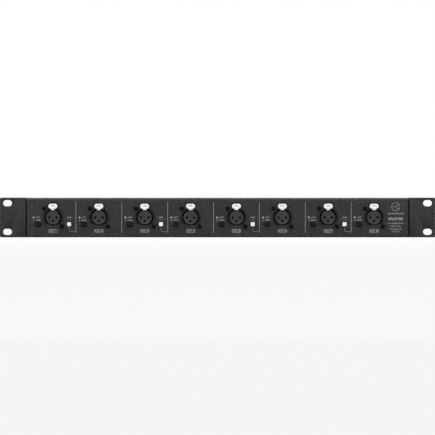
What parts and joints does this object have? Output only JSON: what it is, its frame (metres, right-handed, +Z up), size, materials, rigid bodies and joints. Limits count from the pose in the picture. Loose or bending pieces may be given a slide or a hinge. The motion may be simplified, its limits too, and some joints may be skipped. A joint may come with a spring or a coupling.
{
  "type": "rack microphone splitter",
  "caption": "One-unit 19-inch rack case with latching three-pin microphone sockets and small push buttons along its front, rack ears, and output plugs along its back.",
  "frame": {"origin": "middle of the four rack slots, on the ears' rear face", "axes": "+X to the right seen from the front, +Y to the back, +Z up"},
  "size_m": [0.4826, 0.1443, 0.044],
  "materials": {
    "case_paint": "fine matt powder coat",
    "socket_plastic": "black glass-filled moulding",
    "latch_metal": "bright satin nickel plate",
    "lift_cap_plastic": "black moulded cap",
    "link_cap_plastic": "white moulded cap",
    "insert_plastic": "dark grey moulding",
    "contact_gold": "gold plate",
    "spring_steel": "spring strip",
    "switch_plastic": "black moulding",
    "circuit_board": "green solder mask on fibreglass",
    "zinc_steel": "zinc plate",
    "can_metal": "annealed screening can",
    "coil_winding": "enamelled wire and tape",
    "tinned_wire": "tinned wire",
    "ribbon_sheath": "grey PVC sheath",
    "black_screw": "black oxide"
  },
  "bodies": {
    "chassis": {"base_tray": "case_paint", "top_cover": "case_paint", "left_rack_ear": "case_paint", "right_rack_ear": "case_paint", "input_housing_1": "socket_plastic", "input_housing_2": "socket_plastic", "input_housing_3": "socket_plastic", "input_housing_4": "socket_plastic", "input_housing_5": "socket_plastic", "input_housing_6": "socket_plastic", "input_housing_7": "socket_plastic", "input_housing_8": "socket_plastic", "input_inserts": "insert_plastic", "input_contacts": "contact_gold", "latch_springs": "spring_steel", "lift_switches": "switch_plastic", "link_switches": "switch_plastic", "front_board": "circuit_board", "main_board": "circuit_board", "rear_board": "circuit_board", "board_pillars": "zinc_steel", "board_screws": "zinc_steel", "transformer_cans": "can_metal", "transformer_coils": "coil_winding", "transformer_pins": "tinned_wire", "ribbon_headers": "switch_plastic", "front_ribbons": "ribbon_sheath", "rear_ribbons": "ribbon_sheath", "output_cups_direct": "socket_plastic", "output_cups_isolated": "socket_plastic", "output_inserts": "insert_plastic", "output_pins": "contact_gold", "input_screws": "black_screw", "output_screws": "black_screw", "ear_screws": "black_screw", "cover_screws": "black_screw", "case_nuts": "zinc_steel"},
    "lift_button_1": {"lift_button_1": "lift_cap_plastic"},
    "lift_button_2": {"lift_button_2": "lift_cap_plastic"},
    "lift_button_3": {"lift_button_3": "lift_cap_plastic"},
    "lift_button_4": {"lift_button_4": "lift_cap_plastic"},
    "lift_button_5": {"lift_button_5": "lift_cap_plastic"},
    "lift_button_6": {"lift_button_6": "lift_cap_plastic"},
    "lift_button_7": {"lift_button_7": "lift_cap_plastic"},
    "lift_button_8": {"lift_button_8": "lift_cap_plastic"},
    "link_button_1": {"link_button_1": "link_cap_plastic"},
    "link_button_2": {"link_button_2": "link_cap_plastic"},
    "link_button_3": {"link_button_3": "link_cap_plastic"},
    "link_button_4": {"link_button_4": "link_cap_plastic"},
    "input_latch_1": {"input_latch_1": "latch_metal"},
    "input_latch_2": {"input_latch_2": "latch_metal"},
    "input_latch_3": {"input_latch_3": "latch_metal"},
    "input_latch_4": {"input_latch_4": "latch_metal"},
    "input_latch_5": {"input_latch_5": "latch_metal"},
    "input_latch_6": {"input_latch_6": "latch_metal"},
    "input_latch_7": {"input_latch_7": "latch_metal"},
    "input_latch_8": {"input_latch_8": "latch_metal"}
  },
  "joints": [
    {"name": "lift_button_1_press", "type": "slide", "parent": "chassis", "child": "lift_button_1", "axis": [0, 1, 0], "range_m": [0, 0.0025], "stiffness_N_per_m": 400},
    {"name": "lift_button_2_press", "type": "slide", "parent": "chassis", "child": "lift_button_2", "axis": [0, 1, 0], "range_m": [0, 0.0025], "stiffness_N_per_m": 400},
    {"name": "lift_button_3_press", "type": "slide", "parent": "chassis", "child": "lift_button_3", "axis": [0, 1, 0], "range_m": [0, 0.0025], "stiffness_N_per_m": 400},
    {"name": "lift_button_4_press", "type": "slide", "parent": "chassis", "child": "lift_button_4", "axis": [0, 1, 0], "range_m": [0, 0.0025], "stiffness_N_per_m": 400},
    {"name": "lift_button_5_press", "type": "slide", "parent": "chassis", "child": "lift_button_5", "axis": [0, 1, 0], "range_m": [0, 0.0025], "stiffness_N_per_m": 400},
    {"name": "lift_button_6_press", "type": "slide", "parent": "chassis", "child": "lift_button_6", "axis": [0, 1, 0], "range_m": [0, 0.0025], "stiffness_N_per_m": 400},
    {"name": "lift_button_7_press", "type": "slide", "parent": "chassis", "child": "lift_button_7", "axis": [0, 1, 0], "range_m": [0, 0.0025], "stiffness_N_per_m": 400},
    {"name": "lift_button_8_press", "type": "slide", "parent": "chassis", "child": "lift_button_8", "axis": [0, 1, 0], "range_m": [0, 0.0025], "stiffness_N_per_m": 400},
    {"name": "link_button_1_press", "type": "slide", "parent": "chassis", "child": "link_button_1", "axis": [0, 1, 0], "range_m": [0, 0.0025], "stiffness_N_per_m": 400},
    {"name": "link_button_2_press", "type": "slide", "parent": "chassis", "child": "link_button_2", "axis": [0, 1, 0], "range_m": [0, 0.0025], "stiffness_N_per_m": 400},
    {"name": "link_button_3_press", "type": "slide", "parent": "chassis", "child": "link_button_3", "axis": [0, 1, 0], "range_m": [0, 0.0025], "stiffness_N_per_m": 400},
    {"name": "link_button_4_press", "type": "slide", "parent": "chassis", "child": "link_button_4", "axis": [0, 1, 0], "range_m": [0, 0.0025], "stiffness_N_per_m": 400},
    {"name": "input_latch_1_push", "type": "slide", "parent": "chassis", "child": "input_latch_1", "axis": [0, 1, 0], "range_m": [0, 0.0018], "stiffness_N_per_m": 1000, "deforming": ["latch_springs"]},
    {"name": "input_latch_2_push", "type": "slide", "parent": "chassis", "child": "input_latch_2", "axis": [0, 1, 0], "range_m": [0, 0.0018], "stiffness_N_per_m": 1000, "deforming": ["latch_springs"]},
    {"name": "input_latch_3_push", "type": "slide", "parent": "chassis", "child": "input_latch_3", "axis": [0, 1, 0], "range_m": [0, 0.0018], "stiffness_N_per_m": 1000, "deforming": ["latch_springs"]},
    {"name": "input_latch_4_push", "type": "slide", "parent": "chassis", "child": "input_latch_4", "axis": [0, 1, 0], "range_m": [0, 0.0018], "stiffness_N_per_m": 1000, "deforming": ["latch_springs"]},
    {"name": "input_latch_5_push", "type": "slide", "parent": "chassis", "child": "input_latch_5", "axis": [0, 1, 0], "range_m": [0, 0.0018], "stiffness_N_per_m": 1000, "deforming": ["latch_springs"]},
    {"name": "input_latch_6_push", "type": "slide", "parent": "chassis", "child": "input_latch_6", "axis": [0, 1, 0], "range_m": [0, 0.0018], "stiffness_N_per_m": 1000, "deforming": ["latch_springs"]},
    {"name": "input_latch_7_push", "type": "slide", "parent": "chassis", "child": "input_latch_7", "axis": [0, 1, 0], "range_m": [0, 0.0018], "stiffness_N_per_m": 1000, "deforming": ["latch_springs"]},
    {"name": "input_latch_8_push", "type": "slide", "parent": "chassis", "child": "input_latch_8", "axis": [0, 1, 0], "range_m": [0, 0.0018], "stiffness_N_per_m": 1000, "deforming": ["latch_springs"]}
  ]
}
